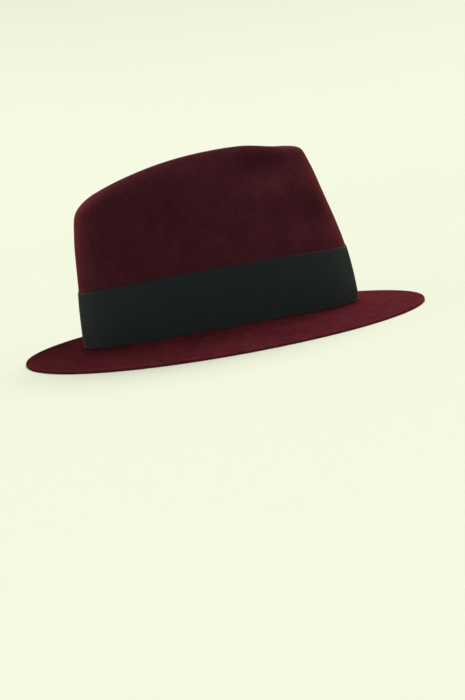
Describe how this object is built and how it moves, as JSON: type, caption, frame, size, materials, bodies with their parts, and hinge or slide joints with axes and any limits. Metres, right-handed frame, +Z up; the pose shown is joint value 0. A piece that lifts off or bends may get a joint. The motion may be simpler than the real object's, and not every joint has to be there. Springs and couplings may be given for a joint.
{
  "type": "felt fedora hat",
  "caption": "Fur-felt fedora with a teardrop crown, front pinches, a near-flat cut brim and a wide ribbon band round the crown; it is worn on the head and rests on its brim.",
  "frame": {"origin": "centre of the brim's outline, on the surface that the brim rests on", "axes": "+X towards the front of the hat, +Y towards the wearer's left, +Z up"},
  "size_m": [0.302, 0.2666, 0.1327],
  "materials": {
    "felt": "brushed burgundy fur felt",
    "ribbon": "dark ribbed ribbon"
  },
  "bodies": {
    "root": {"felt_body": "felt", "hat_band": "ribbon"}
  },
  "joints": []
}
